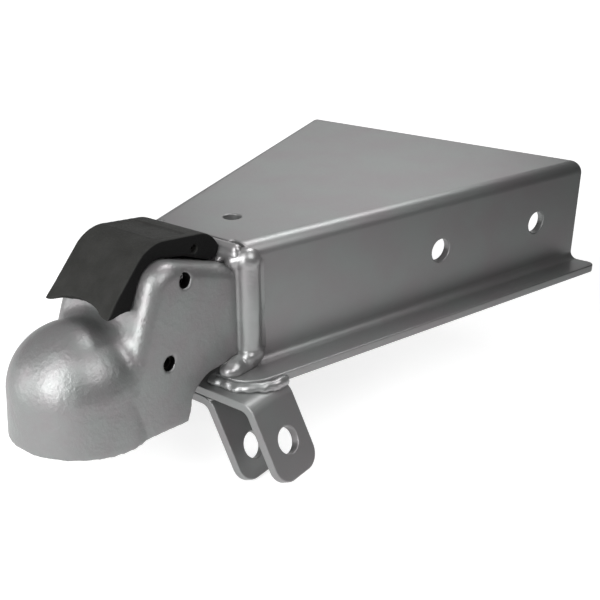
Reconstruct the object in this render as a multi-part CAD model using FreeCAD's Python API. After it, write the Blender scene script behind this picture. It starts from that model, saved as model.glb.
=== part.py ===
import FreeCAD, Part
import math
import os

os.makedirs("parts", exist_ok=True)

# Ball coupler head for a trailer's A-shaped tongue, in millimetres.
# Origin: centre of the tow ball. +X points back to the trailer, +Z up, and Y = 0 is the mirror plane.

# Tow ball and cast socket
ball_radius = 29.37
socket_clearance = 0.45
socket_wall = 9.0
skirt_draft = 5.0
rim_drop = 30.1
rim_slope = 0.149
dome_blend = 9.0

# Cast neck behind the socket
neck_half_width = 38.0
neck_wall = 8.0
neck_roof = 5.0
neck_edge_round = 9.5
hump_x = 46.0
hump_z = 50.0
hump_radius = 18.2
front_lean = 22.5
roof_fall = 19.0
neck_length = 107.0
neck_floor_z = -11.5
hollow_low_z = 17.6
heel_top_x = 72.0
heel_bulge = 3.0
heel_x = 55.5
heel_z = -23.0
chin_x = 52.5
spigot_half_width = 34.3
spigot_length = 30.0
spigot_wall = 7.0
boss_radius = 12.5
boss_length = 9.0

# Channel folded from one steel plate
plate = 6.35
channel_top_z = 64.0
channel_height = 88.9
channel_length = 308.0
channel_half_angle = 16.9
wall_step = 5.2
top_bend = 9.5
foot_bend = 6.0
flange_width = 22.0
flange_reach = 24.0
flange_front_round = 24.0
flange_rear_round = 6.0
top_lap = 3.0
bolt_hole_diameter = 17.5
bolt_hole_drop = 41.4
bolt_hole_first = 50.8
bolt_hole_pitch = 105.4
jack_hole_diameter = 12.2
jack_hole_back = 33.0

# Two bent straps whose ends make a chain clevis on each side
strap = 6.35
strap_lead = 10.3
strap_width = 38.9
strap_bend = 6.35
ear_lean = 27.0
clevis_gap = 25.4
ear_offset = 50.0
ear_hole_reach = 85.5
outer_ear_margin = 24.0
inner_ear_margin = 20.0
ear_hole_diameter = 17.5
ear_corner_round = 12.0

# Pins and their clearances
pin_clearance = 0.05
seat_gap = 0.3
clamp_pin_radius = 4.7
clamp_pin_x = 38.8
clamp_pin_z = 8.7
pin_recess = 4.0
pin_wall = 1.4
pin_slot = 1.2
safety_hole_radius = 4.7
safety_hole_x = 55.3
safety_hole_z = 55.4

# Latch lever
lever_pin_x = 75.8
lever_pin_z = 66.4
lever_pin_radius = 2.5
lever_pin_recess = 3.0
lever_half_width = 26.5
lever_cheek = 5.0
lever_skin = 5.0
lip_x = 5.8
lip_z = 47.3
lip_heel_x = 23.3
lip_heel_z = 44.7
crest_front_x = 31.0
crest_front_z = 72.6
crest_mid_x = 39.8
crest_mid_z = 77.7
crest_back_x = 50.4
crest_back_z = 79.2
nose_setback = 9.0
nose_cam_radius = 7.6
nose_top_radius = 22.0
top_fall = 7.9
under_gap = 2.0
lip_scoop_half = 19.5
lip_scoop_depth = 4.9
pad_depth = 0.8
pad_margin = 5.5
pad_front_x = 50.0
pad_back_x = 74.0
lever_edge_round = 1.4

# Lock slide that the lever lifts
stem_radius = 6.0
eye_radius = 6.8
eye_half_width = 5.6
eye_side_gap = 0.8
eye_shoulder = 5.4
foot_z = 9.0
foot_height = 7.0
foot_half_width = 12.0
foot_front = 9.3
foot_rear = 12.0
step_lift = 4.5
post_front_x = 49.6
post_thickness = 7.0
post_play = 3.4
washer_thickness = 1.6

# Compression spring round the stem
spring_wire = 2.4
spring_mean_radius = 9.6
spring_turns = 6.0
wire_sides = 8
steps_per_turn = 14

# Ball clamp
clamp_half_width = 22.0
clamp_hub_radius = 9.1
jaw_outer_radius = 41.0
jaw_inner_radius = 20.0
jaw_low_angle = -50.0
tail_reach = 27.0
tail_tip_radius = 5.0
tail_half_width = 12.0
spring_bar_x = 56.0
spring_bar_radius = 3.0

# Torsion springs and spacers on the clamp's pin
coil_wire = 1.8
coil_mean_radius = 7.6
coil_turns = 2.25
spacer_wall = 1.5
side_gap = 0.3
coil_arm_top_z = 43.5

# Weld beads
side_bead_radius = 7.8
side_bead_end = 8.6
side_bead_foot = 5.5
side_bead_toe = 9.5
side_bead_drop = 11.0
roof_bead_radius = 5.2
flange_bead_radius = 4.6
strap_bead_radius = 3.2


def vec(x, y, z):
    return FreeCAD.Vector(x, y, z)


def side_point(x, z, y=0.0):
    return vec(x, y, z)


def line(a, b):
    return Part.makeLine(a, b)


def arc(a, mid, b):
    return Part.Arc(a, mid, b).toShape()


def face_of(edges):
    return Part.Face(Part.Wire(edges))


def polygon(points):
    return Part.Face(Part.makePolygon(points + [points[0]]))


def slab(face, half_width):
    """Extrude a face drawn in the XZ plane to both sides of Y = 0."""
    moved = face.translated(vec(0, -half_width, 0))
    return moved.extrude(vec(0, 2 * half_width, 0))


def box_between(low, high):
    size = high - low
    return Part.makeBox(size.x, size.y, size.z, low)


def cross_rod(radius, x, z, half_length):
    """Round bar along Y, centred on the mirror plane."""
    return Part.makeCylinder(radius, 2 * half_length, side_point(x, z, -half_length), vec(0, 1, 0))


def mirrored(shape):
    return shape.mirror(vec(0, 0, 0), vec(0, 1, 0))


def round_edges(shape, radius, chosen):
    edges = [edge for edge in shape.Edges if chosen(edge)]
    return shape.makeFillet(radius, edges)


def save(name, shape):
    shape.exportStep(os.path.join("parts", name + ".step"))


# Places worked out from the driving dimensions
socket_radius = ball_radius + socket_clearance
dome_radius = socket_radius + socket_wall
lean = math.radians(front_lean)
fall = math.radians(roof_fall)
half_angle = math.radians(channel_half_angle)
ear_tilt = math.radians(ear_lean)
hump_front = side_point(hump_x - hump_radius * math.cos(lean), hump_z + hump_radius * math.sin(lean))
hump_back = side_point(hump_x + hump_radius * math.sin(fall), hump_z + hump_radius * math.cos(fall))
stem_x = lever_pin_x
nose_rear_x = neck_length - nose_setback
wall_front_x = neck_length
top_front_x = neck_length - top_lap
flange_front_x = neck_length - flange_reach
strap_front_x = flange_front_x - strap_lead
jack_hole_x = neck_length + jack_hole_back
channel_rear_x = neck_length + channel_length
channel_rear_half = neck_half_width + wall_step + channel_length * math.tan(half_angle)
web_z = channel_top_z - channel_height


def roof_z(x, depth=0.0):
    """Height of the sloping roof, or of a face a given depth under it."""
    return hump_back.z - (x - hump_back.x) * math.tan(fall) - depth / math.cos(fall)


def front_x(z, depth=0.0):
    """Front wall of the neck, or a face a given depth behind it."""
    return hump_front.x - (hump_front.z - z) * math.tan(lean) + depth / math.cos(lean)


def rim_z(x):
    return -rim_drop - rim_slope * x


def hump_profile(depth, foot_z_level, rear_x):
    """Front wall, hump and roof as one run of edges, a given depth inside the outer skin."""
    radius = hump_radius - depth
    front = side_point(hump_x - radius * math.cos(lean), hump_z + radius * math.sin(lean))
    crown = side_point(hump_x - radius * math.sin(lean), hump_z + radius * math.cos(lean))
    back = side_point(hump_x + radius * math.sin(fall), hump_z + radius * math.cos(fall))
    start = side_point(front_x(foot_z_level, depth), foot_z_level)
    end = side_point(rear_x, roof_z(rear_x, depth))
    return [line(start, front), arc(front, crown, back), line(back, end)], start, end


def neck_outline():
    """Side view of the neck without the socket dome."""
    edges, start, end = hump_profile(0.0, 0.0, neck_length)
    heel_top = side_point(heel_top_x, neck_floor_z)
    heel = side_point(heel_x, heel_z)
    middle = side_point((heel_top_x + heel_x) / 2 - heel_bulge / 2, (neck_floor_z + heel_z) / 2 + heel_bulge / 2)
    edges.append(line(end, side_point(neck_length, neck_floor_z)))
    edges.append(line(side_point(neck_length, neck_floor_z), heel_top))
    edges.append(arc(heel_top, middle, heel))
    edges.append(line(heel, side_point(chin_x, rim_z(chin_x))))
    edges.append(line(side_point(chin_x, rim_z(chin_x)), side_point(0, rim_z(0))))
    edges.append(line(side_point(0, rim_z(0)), side_point(0, 0)))
    edges.append(line(side_point(0, 0), start))
    return face_of(edges)


def neck_hollow():
    """Space behind the ball for the clamp, lock slide and springs."""
    edges, start, end = hump_profile(neck_roof, hollow_low_z, neck_length + spigot_length + 1)
    reach = end.x
    low = rim_z(neck_length) - dome_radius
    edges.append(line(end, side_point(reach, low)))
    edges.append(line(side_point(reach, low), side_point(socket_wall, low)))
    edges.append(line(side_point(socket_wall, low), side_point(socket_wall, 0)))
    edges.append(line(side_point(socket_wall, 0), start))
    return face_of(edges)


def socket_space():
    """Ball space: a half sphere over a straight round mouth."""
    depth = rim_drop + dome_radius
    sphere = Part.makeSphere(socket_radius)
    mouth = Part.makeCylinder(socket_radius, depth, vec(0, 0, -depth))
    return sphere.fuse(mouth)


def pin_bores():
    clamp_bore = cross_rod(clamp_pin_radius + pin_clearance, clamp_pin_x, clamp_pin_z, neck_half_width + 1)
    safety_bore = cross_rod(safety_hole_radius, safety_hole_x, safety_hole_z, neck_half_width + 1)
    return [clamp_bore, safety_bore]


def make_head():
    depth = rim_drop + dome_radius
    neck = slab(neck_outline(), neck_half_width)
    neck = round_edges(neck, neck_edge_round, is_neck_ridge)
    spread = depth * math.tan(math.radians(skirt_draft))
    skirt = Part.makeCone(dome_radius, dome_radius + spread, depth, vec(0, 0, 0), vec(0, 0, -1))
    below_rim = slab(polygon([
        side_point(-2 * dome_radius, rim_z(-2 * dome_radius)),
        side_point(2 * dome_radius, rim_z(2 * dome_radius)),
        side_point(2 * dome_radius, -3 * dome_radius),
        side_point(-2 * dome_radius, -3 * dome_radius),
    ]), 2 * dome_radius)
    dome = Part.makeSphere(dome_radius).fuse(skirt).cut(below_rim)
    outer = dome.fuse(neck).removeSplitter()
    outer = blend_dome(outer)
    hollow = slab(neck_hollow(), neck_half_width - neck_wall)
    spigot = make_spigot()
    head = outer.fuse(spigot).cut(hollow.fuse(socket_space()))
    head = head.fuse(stem_boss())
    head = head.cut(Part.makeCylinder(stem_radius + pin_clearance, 2 * channel_top_z, vec(stem_x, 0, 0)))
    for bore in pin_bores():
        head = head.cut(bore)
    return head.removeSplitter()


def is_neck_ridge(edge):
    """Long edges between the neck's side faces and its front wall, hump and roof."""
    box = edge.BoundBox
    on_side = abs(abs(box.YMin) - neck_half_width) < 0.01 and box.YLength < 0.01
    return on_side and box.ZMin > -0.01 and box.ZMax > roof_z(neck_length) - 0.01 and box.XLength > 1


def blend_dome(outer):
    """Soften the crease between the dome and the neck's front wall."""
    def is_crease(edge):
        box = edge.BoundBox
        return box.ZMin > 0 and box.XMin > 0 and box.XMax < dome_radius and box.YLength > neck_half_width / 2
    return round_edges(outer, dome_blend, is_crease)


def make_spigot():
    """Narrower rear end of the casting, which goes into the channel."""
    top = channel_top_z - plate - seat_gap
    low = vec(neck_length - 1, -spigot_half_width, neck_floor_z)
    high = vec(neck_length + spigot_length, spigot_half_width, top)
    inner_low = vec(low.x - 1, -spigot_half_width + spigot_wall, neck_floor_z - 1)
    inner_high = vec(high.x + 1, spigot_half_width - spigot_wall, top - spigot_wall)
    return box_between(low, high).cut(box_between(inner_low, inner_high))


def boss_floor_z():
    return roof_z(stem_x, neck_roof) - boss_length


def stem_boss():
    """Round boss under the roof that guides the stem and seats the spring."""
    top = roof_z(stem_x) - neck_roof / 2
    boss = Part.makeCylinder(boss_radius, top - boss_floor_z() + boss_radius, vec(stem_x, 0, boss_floor_z()))
    edges, start, end = hump_profile(neck_roof / 2, 0.0, neck_length)
    edges.append(line(end, side_point(end.x, 0)))
    edges.append(line(side_point(end.x, 0), start))
    return boss.common(slab(face_of(edges), boss_radius + 1))


def wall_y(x, inset=0.0):
    """Half width of the channel at x, measured to a face parallel to the wall's outer face."""
    outer = channel_rear_half - (channel_rear_x - x) * math.tan(half_angle)
    return outer - inset / math.cos(half_angle)


def fold_section(inner_reach):
    """Half of the folded sheet's section: u is outward from the wall's outer face."""
    top = channel_top_z
    sole = channel_top_z - channel_height
    shelf = sole + plate
    inner_top = top_bend - plate
    outer_foot = foot_bend + plate
    diagonal = math.sqrt(0.5)

    def at(u, z):
        return vec(0, u, z)

    top_mid = at(-top_bend + top_bend * diagonal, top - top_bend + top_bend * diagonal)
    under_mid = at(-top_bend + inner_top * diagonal, top - top_bend + inner_top * diagonal)
    foot_mid = at(foot_bend - foot_bend * diagonal, shelf + foot_bend - foot_bend * diagonal)
    sole_mid = at(foot_bend - outer_foot * diagonal, shelf + foot_bend - outer_foot * diagonal)
    edges = [
        line(at(-inner_reach, top), at(-top_bend, top)),
        arc(at(-top_bend, top), top_mid, at(0, top - top_bend)),
        line(at(0, top - top_bend), at(0, shelf + foot_bend)),
        arc(at(0, shelf + foot_bend), foot_mid, at(foot_bend, shelf)),
        line(at(foot_bend, shelf), at(flange_width, shelf)),
        line(at(flange_width, shelf), at(flange_width, sole)),
        line(at(flange_width, sole), at(foot_bend, sole)),
        arc(at(foot_bend, sole), sole_mid, at(-plate, shelf + foot_bend)),
        line(at(-plate, shelf + foot_bend), at(-plate, top - top_bend)),
        arc(at(-plate, top - top_bend), under_mid, at(-top_bend, top - plate)),
        line(at(-top_bend, top - plate), at(-inner_reach, top - plate)),
        line(at(-inner_reach, top - plate), at(-inner_reach, top)),
    ]
    return face_of(edges)


def along_wall(shape, start_x):
    """Turn a shape drawn about the X axis onto the +Y wall's outer face."""
    placed = shape.copy()
    placed.rotate(vec(0, 0, 0), vec(0, 0, 1), channel_half_angle)
    placed.translate(vec(start_x, wall_y(start_x), 0))
    return placed


def flange_corner_centre():
    """Centre of the round at the flange's front outer corner, in plan."""
    x = flange_front_x + flange_front_round
    edge_y = wall_y(x) + flange_width / math.cos(half_angle)
    return vec(x, edge_y - flange_front_round / math.cos(half_angle), 0)


def flange_outline():
    """Plan view of one side of the sheet, with the flange's rounded front and rear corners."""
    centre = flange_corner_centre()
    inner_y = -1.0
    outward = vec(-math.sin(half_angle), math.cos(half_angle), 0)
    tangent = centre + outward * flange_front_round
    middle_angle = math.radians(135.0 + channel_half_angle / 2)
    middle = centre + vec(math.cos(middle_angle), math.sin(middle_angle), 0) * flange_front_round
    rear_edge_y = wall_y(channel_rear_x) + flange_width / math.cos(half_angle)
    front_low = vec(flange_front_x, inner_y, 0)
    front_high = vec(flange_front_x, centre.y, 0)
    rear_high = vec(channel_rear_x, rear_edge_y, 0)
    rear_low = vec(channel_rear_x, inner_y, 0)
    edges = [
        line(front_low, front_high),
        arc(front_high, middle, tangent),
        line(tangent, rear_high),
        line(rear_high, rear_low),
        line(rear_low, front_low),
    ]
    plan = face_of(edges).translated(vec(0, 0, channel_top_z - channel_height - 1))
    solid = plan.extrude(vec(0, 0, channel_height + 2))

    def is_rear_corner(edge):
        box = edge.BoundBox
        return box.ZLength > channel_height and abs(box.XMin - channel_rear_x) < 0.01 and box.YMin > 1
    return round_edges(solid, flange_rear_round, is_rear_corner)


def bolt_hole_centres():
    """Centres of the holes through one side wall, on its outer face."""
    found = []
    for index in range(2):
        distance = bolt_hole_first + index * bolt_hole_pitch
        x = channel_rear_x - distance * math.cos(half_angle)
        found.append(vec(x, wall_y(x), channel_top_z - bolt_hole_drop))
    return found


def make_channel():
    start_x = flange_front_x - 2 * flange_width
    length = (channel_rear_x - start_x) / math.cos(half_angle) + 2 * flange_width
    inner_reach = top_bend + plate
    side = along_wall(fold_section(inner_reach).extrude(vec(length, 0, 0)), start_x)
    side = side.common(flange_outline())
    shelf = channel_top_z - channel_height + plate
    side = side.cut(box_between(vec(0, -1, shelf), vec(wall_front_x, channel_rear_half, channel_top_z + 1)))
    outward = vec(-math.sin(half_angle), math.cos(half_angle), 0)
    for centre in bolt_hole_centres():
        start = centre - outward * (2 * plate)
        side = side.cut(Part.makeCylinder(bolt_hole_diameter / 2, 4 * plate, start, outward))
    overlap = top_bend + plate / 2
    front_y = wall_y(top_front_x, overlap)
    rear_y = wall_y(channel_rear_x, overlap)
    under = channel_top_z - plate
    lid = polygon([
        vec(top_front_x, -front_y, under),
        vec(channel_rear_x, -rear_y, under),
        vec(channel_rear_x, rear_y, under),
        vec(top_front_x, front_y, under),
    ]).extrude(vec(0, 0, plate))
    channel = lid.fuse([side, mirrored(side)])
    jack_hole = Part.makeCylinder(jack_hole_diameter / 2, 4 * plate, vec(jack_hole_x, 0, under - plate))
    return channel.cut(jack_hole).removeSplitter()


def ear_axis():
    return vec(0, math.sin(ear_tilt), -math.cos(ear_tilt))


def ear_normal():
    return vec(0, math.cos(ear_tilt), math.sin(ear_tilt))


def strap_section(web_top_z, leg_offset, end_reach):
    """Right half of a strap's section: level web, bend, and a leg that leans outward."""
    normal = ear_normal()
    down = ear_axis()
    web_low_z = web_top_z - strap

    def on_leg(depth, z):
        """Point on the leg's face a depth inside its outward face, at height z."""
        return vec(0, (leg_offset - depth - normal.z * z) / normal.y, z)

    outer_corner = on_leg(0, web_top_z)
    inner_corner = on_leg(strap, web_low_z)
    tail_outer = normal * leg_offset + down * end_reach
    tail_inner = normal * (leg_offset - strap) + down * end_reach
    bend_tangent = math.tan((math.pi / 2 - ear_tilt) / 2)
    outer_back = (strap_bend + strap) * bend_tangent
    inner_back = strap_bend * bend_tangent
    centre = vec(0, outer_corner.y - outer_back, web_top_z - strap_bend - strap)
    swing = (math.pi / 2 + ear_tilt) / 2
    toward = vec(0, math.cos(swing), math.sin(swing))
    edges = [
        line(vec(0, 0, web_top_z), vec(0, outer_corner.y - outer_back, web_top_z)),
        arc(vec(0, outer_corner.y - outer_back, web_top_z), centre + toward * (strap_bend + strap),
            outer_corner + down * outer_back),
        line(outer_corner + down * outer_back, tail_outer),
        line(tail_outer, tail_inner),
        line(tail_inner, inner_corner + down * inner_back),
        arc(inner_corner + down * inner_back, centre + toward * strap_bend,
            vec(0, inner_corner.y - inner_back, web_low_z)),
        line(vec(0, inner_corner.y - inner_back, web_low_z), vec(0, 0, web_low_z)),
        line(vec(0, 0, web_low_z), vec(0, 0, web_top_z)),
    ]
    return face_of(edges).translated(vec(strap_front_x, 0, 0))


def make_strap(web_top_z, leg_offset, end_margin):
    reach = ear_hole_reach + end_margin
    half = strap_section(web_top_z, leg_offset, reach).extrude(vec(strap_width, 0, 0))
    whole = half.fuse(mirrored(half)).removeSplitter()

    def is_ear_corner(edge):
        box = edge.BoundBox
        crosswise = box.XLength < 0.01 and abs(edge.Length - strap) < 0.01
        middle = vec(0, abs(box.Center.y), box.Center.z)
        return crosswise and abs(middle.dot(ear_axis()) - reach) < 0.01
    whole = round_edges(whole, ear_corner_round, is_ear_corner)
    centre = ear_normal() * (leg_offset - strap / 2) + ear_axis() * ear_hole_reach
    centre.x = strap_front_x + strap_width / 2
    bore = Part.makeCylinder(ear_hole_diameter / 2, 4 * strap, centre - ear_normal() * (2 * strap), ear_normal())
    return whole.cut(bore).cut(mirrored(bore))


def spring_pin(radius, half_length, x, z):
    """Rolled steel pin along Y with a slit down its length."""
    body = cross_rod(radius, x, z, half_length)
    body = body.cut(cross_rod(radius - pin_wall, x, z, half_length + 1))
    slit = box_between(vec(x - radius - 1, -half_length - 1, z - pin_slot / 2),
                       vec(x, half_length + 1, z + pin_slot / 2))
    return body.cut(slit)


def nose_z():
    """Height of the nose's centre so that its cam rests on the roof."""
    return roof_z(nose_rear_x - nose_cam_radius) + (nose_cam_radius + seat_gap) / math.cos(fall)


def top_line():
    """Slope angle of the lever's flat top, and where the round down to the nose starts on it."""
    slope = -math.radians(top_fall)
    along = vec(math.cos(slope), 0, math.sin(slope))
    start = side_point(crest_back_x, crest_back_z)
    reach = side_point(nose_rear_x, nose_z()) - start
    drop = reach.x * along.z - reach.z * along.x
    run = reach.dot(along) - math.sqrt(drop * (2 * nose_top_radius - drop))
    return slope, start + along * run


def lever_outline():
    """Side view of the lever: lip, front face, crest, top, round nose and the hollow over the hump."""
    cam = side_point(nose_rear_x - nose_cam_radius, nose_z())
    rest_radius = hump_radius + seat_gap
    front_low = side_point(hump_x - rest_radius * math.cos(lean), hump_z + rest_radius * math.sin(lean))
    hump_top = side_point(hump_x - rest_radius * math.sin(lean / 2), hump_z + rest_radius * math.cos(lean / 2))
    hump_end = side_point(hump_x + rest_radius * math.sin(fall), hump_z + rest_radius * math.cos(fall))
    crest_back = side_point(crest_back_x, crest_back_z)
    slope, nose_top = top_line()
    nose_rear = side_point(nose_rear_x, nose_z())
    top_centre = nose_top + vec(math.sin(slope), 0, -math.cos(slope)) * nose_top_radius
    shoulder = top_centre + ((nose_top + nose_rear) / 2 - top_centre).normalize() * nose_top_radius
    heel = cam + vec(math.cos(fall * 2), 0, -math.sin(fall * 2)) * nose_cam_radius
    cam_low = cam - vec(math.sin(fall), 0, math.cos(fall)) * nose_cam_radius
    under_x = lever_pin_x - nose_cam_radius
    under = side_point(under_x, roof_z(under_x) + under_gap)
    edges = [
        line(side_point(lip_x, lip_z), side_point(crest_front_x, crest_front_z)),
        arc(side_point(crest_front_x, crest_front_z), side_point(crest_mid_x, crest_mid_z), crest_back),
        line(crest_back, nose_top),
        arc(nose_top, shoulder, nose_rear),
        arc(nose_rear, heel, cam_low),
        line(cam_low, under),
        line(under, hump_end),
        arc(hump_end, hump_top, front_low),
        line(front_low, side_point(lip_heel_x, lip_heel_z)),
        line(side_point(lip_heel_x, lip_heel_z), side_point(lip_x, lip_z)),
    ]
    return face_of(edges)


def make_lever():
    lever = slab(lever_outline(), lever_half_width)
    lever = round_edges(lever, lever_edge_round, is_lever_rim)
    lever = lever.cut(lever_pocket())
    lever = lever.cut(eye_slot())
    lever = lever.cut(lip_scoop())
    lever = lever.cut(top_pad())
    return lever.cut(cross_rod(lever_pin_radius + pin_clearance, lever_pin_x, lever_pin_z, lever_half_width + 1))


def is_lever_rim(edge):
    """Edges where the lever's cheeks meet its front, top and nose."""
    box = edge.BoundBox
    on_cheek = abs(abs(box.YMin) - lever_half_width) < 0.01 and box.YLength < 0.01
    outside = box.ZMax > lever_pin_z or box.XMax > nose_rear_x - 1
    return on_cheek and outside


def lever_pocket():
    """Hollow between the cheeks, under the front face and the top."""
    run = math.hypot(crest_front_x - lip_x, crest_front_z - lip_z)
    shift_x = lever_skin * (crest_front_z - lip_z) / run
    shift_z = lever_skin * (crest_front_x - lip_x) / run
    back_x = lever_pin_x - eye_radius - 2 * lever_skin
    top_back_z = crest_back_z - lever_skin + (back_x - crest_back_x) * math.tan(top_line()[0])
    pocket = polygon([
        side_point(lip_x + shift_x - shift_z / 2, lip_z - shift_z - shift_x / 2),
        side_point(crest_front_x + shift_x, crest_front_z - shift_z),
        side_point(crest_mid_x + lever_skin / 2, crest_mid_z - lever_skin),
        side_point(crest_back_x, crest_back_z - lever_skin),
        side_point(back_x, top_back_z),
        side_point(back_x, lip_z),
        side_point(lip_heel_x, lip_heel_z - lever_skin),
    ])
    return slab(pocket, lever_half_width - lever_cheek)


def eye_slot():
    """Slot for the slide's eye, open below and behind so that the lever can swing up."""
    half = eye_half_width + eye_side_gap
    radius = eye_radius + seat_gap
    hole = cross_rod(radius, lever_pin_x, lever_pin_z, half)
    low = lip_heel_z
    open_side = slab(polygon([
        side_point(lever_pin_x - radius, lever_pin_z),
        side_point(lever_pin_x, lever_pin_z + radius),
        side_point(nose_rear_x + 1, nose_z() + radius / 2),
        side_point(nose_rear_x + 1, low),
        side_point(lever_pin_x - radius, low),
    ]), half)
    return hole.fuse(open_side)


def lip_scoop():
    """Finger scoop: a round bite out of the middle of the lip, square to the lever's front face."""
    radius = (lip_scoop_half ** 2 + lip_scoop_depth ** 2) / (2 * lip_scoop_depth)
    lip = side_point(lip_x, lip_z)
    up_face = (side_point(crest_front_x, crest_front_z) - lip).normalize()
    inward = vec(up_face.z, 0, -up_face.x)
    centre = lip + up_face * (lip_scoop_depth - radius)
    return Part.makeCylinder(radius, 4 * lever_skin, centre - inward * lever_skin, inward)


def top_pad():
    """Shallow moulded recess on the lever's flat top."""
    slope = math.tan(top_line()[0])
    half = lever_half_width - pad_margin
    front_z = crest_back_z + (pad_front_x - crest_back_x) * slope - pad_depth
    back_z = crest_back_z + (pad_back_x - crest_back_x) * slope - pad_depth
    return slab(polygon([
        side_point(pad_front_x, front_z),
        side_point(pad_back_x, back_z),
        side_point(pad_back_x, back_z + 2 * lever_skin),
        side_point(pad_front_x, front_z + 2 * lever_skin),
    ]), half)


def slide_foot():
    """Side view of the foot, the step over the clamp's tail and the post under the safety hole."""
    foot_top = foot_z + foot_height
    step_low = foot_z + step_lift
    step_top = foot_top + step_lift
    post_back = post_front_x + post_thickness
    post_top = safety_hole_z - safety_hole_radius - post_play
    step_x = stem_x - spring_mean_radius - spring_wire
    pad_x = stem_x - foot_front
    rear_x = stem_x + foot_rear
    return polygon([
        side_point(rear_x, foot_z),
        side_point(pad_x, foot_z),
        side_point(pad_x - step_lift, step_low),
        side_point(post_front_x, step_low),
        side_point(post_front_x, post_top),
        side_point(post_back, post_top),
        side_point(post_back, step_top),
        side_point(step_x, step_top),
        side_point(step_x, foot_top),
        side_point(rear_x, foot_top),
    ])


def make_lock_slide():
    """Stem with an eye for the lever, a foot over the clamp's tail and a post under the safety hole."""
    low = foot_z + foot_height / 2
    stem = Part.makeCylinder(stem_radius, lever_pin_z - eye_shoulder - low, vec(stem_x, 0, low))
    eye = cross_rod(eye_radius, lever_pin_x, lever_pin_z, eye_half_width)
    foot = slab(slide_foot(), foot_half_width)

    def is_outer_corner(edge):
        box = edge.BoundBox
        return box.YLength > foot_half_width and box.ZMin > foot_z + foot_height + 2 * step_lift
    foot = round_edges(foot, post_thickness / 4, is_outer_corner)
    slide = stem.fuse([foot, eye]).removeSplitter()
    return slide.cut(cross_rod(lever_pin_radius + pin_clearance, lever_pin_x, lever_pin_z, eye_half_width + 1))


def make_spring_washer():
    """Hard washer between the lock slide's foot and its spring."""
    low = foot_z + foot_height
    outer = Part.makeCylinder(spring_mean_radius + spring_wire / 2, washer_thickness, vec(stem_x, 0, low))
    return outer.cut(Part.makeCylinder(stem_radius + seat_gap, washer_thickness, vec(stem_x, 0, low)))


def swept_wire(path, axis, radius):
    """Spring wire along a path that winds round an axis, as a loft of many-sided sections."""
    sections = []
    for index, point in enumerate(path):
        before = path[max(index - 1, 0)]
        after = path[min(index + 1, len(path) - 1)]
        way = (after - before).normalize()
        rise = (axis - way * axis.dot(way)).normalize()
        side = way.cross(rise)
        ring = []
        for corner in range(wire_sides + 1):
            turn = 2 * math.pi * (corner % wire_sides) / wire_sides
            ring.append(point + side * (radius * math.cos(turn)) + rise * (radius * math.sin(turn)))
        sections.append(Part.makePolygon(ring))
    return Part.makeLoft(sections, True, True)


def make_lock_spring():
    """Compression spring between the washer on the foot and the roof's boss."""
    low = foot_z + foot_height + washer_thickness + seat_gap + spring_wire / 2
    rise = boss_floor_z() - spring_wire / 2 - low
    steps = round(spring_turns * steps_per_turn)
    path = []
    for step in range(steps + 1):
        turn = 2 * math.pi * spring_turns * step / steps
        across = vec(math.cos(turn), math.sin(turn), 0) * spring_mean_radius
        path.append(vec(stem_x, 0, low + rise * step / steps) + across)
    return swept_wire(path, vec(0, 0, 1), spring_wire / 2)


def make_clamp():
    """Rocking clamp: hub, jaw that cups the back of the ball, and a tail under the lock slide."""
    pivot = side_point(clamp_pin_x, clamp_pin_z)
    low = math.radians(jaw_low_angle)
    high = math.atan2(clamp_pin_z, clamp_pin_x)
    middle = (low + high) / 2

    def polar(radius, angle):
        return side_point(radius * math.cos(angle), radius * math.sin(angle))

    jaw = face_of([
        line(polar(jaw_inner_radius, low), polar(jaw_outer_radius, low)),
        arc(polar(jaw_outer_radius, low), polar(jaw_outer_radius, middle), polar(jaw_outer_radius, high)),
        line(polar(jaw_outer_radius, high), polar(jaw_inner_radius, high)),
        arc(polar(jaw_inner_radius, high), polar(jaw_inner_radius, middle), polar(jaw_inner_radius, low)),
    ])
    clamp = slab(jaw, clamp_half_width).cut(Part.makeSphere(socket_radius))
    tip = side_point(clamp_pin_x + tail_reach, foot_z - seat_gap - tail_tip_radius)
    along = tip - pivot
    across = vec(-along.z, 0, along.x).normalize()
    tail = polygon([
        pivot + across * tail_tip_radius,
        tip + across * tail_tip_radius,
        tip - across * tail_tip_radius,
        pivot - across * tail_tip_radius,
    ])
    pieces = [
        cross_rod(clamp_hub_radius, pivot.x, pivot.z, clamp_half_width),
        slab(tail, tail_half_width),
        cross_rod(tail_tip_radius, tip.x, tip.z, tail_half_width),
        cross_rod(spring_bar_radius, spring_bar_x, spring_bar_z(), neck_half_width - neck_wall - 2 * side_gap),
    ]
    clamp = clamp.fuse(pieces).cut(Part.makeSphere(socket_radius))
    clamp = clamp.removeSplitter()
    return clamp.cut(cross_rod(clamp_pin_radius + pin_clearance, pivot.x, pivot.z, clamp_half_width + 1))


def spring_bar_z():
    drop = foot_z - seat_gap - tail_tip_radius - clamp_pin_z
    return clamp_pin_z + drop * (spring_bar_x - clamp_pin_x) / tail_reach


def make_spacer():
    """Short tube that centres the clamp between the neck's walls."""
    inner = clamp_pin_radius + pin_clearance
    start = clamp_half_width + side_gap
    length = neck_half_width - neck_wall - side_gap - start
    centre = side_point(clamp_pin_x, clamp_pin_z, start)
    tube = Part.makeCylinder(inner + spacer_wall, length, centre, vec(0, 1, 0))
    return tube.cut(Part.makeCylinder(inner, length, centre, vec(0, 1, 0)))


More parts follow.
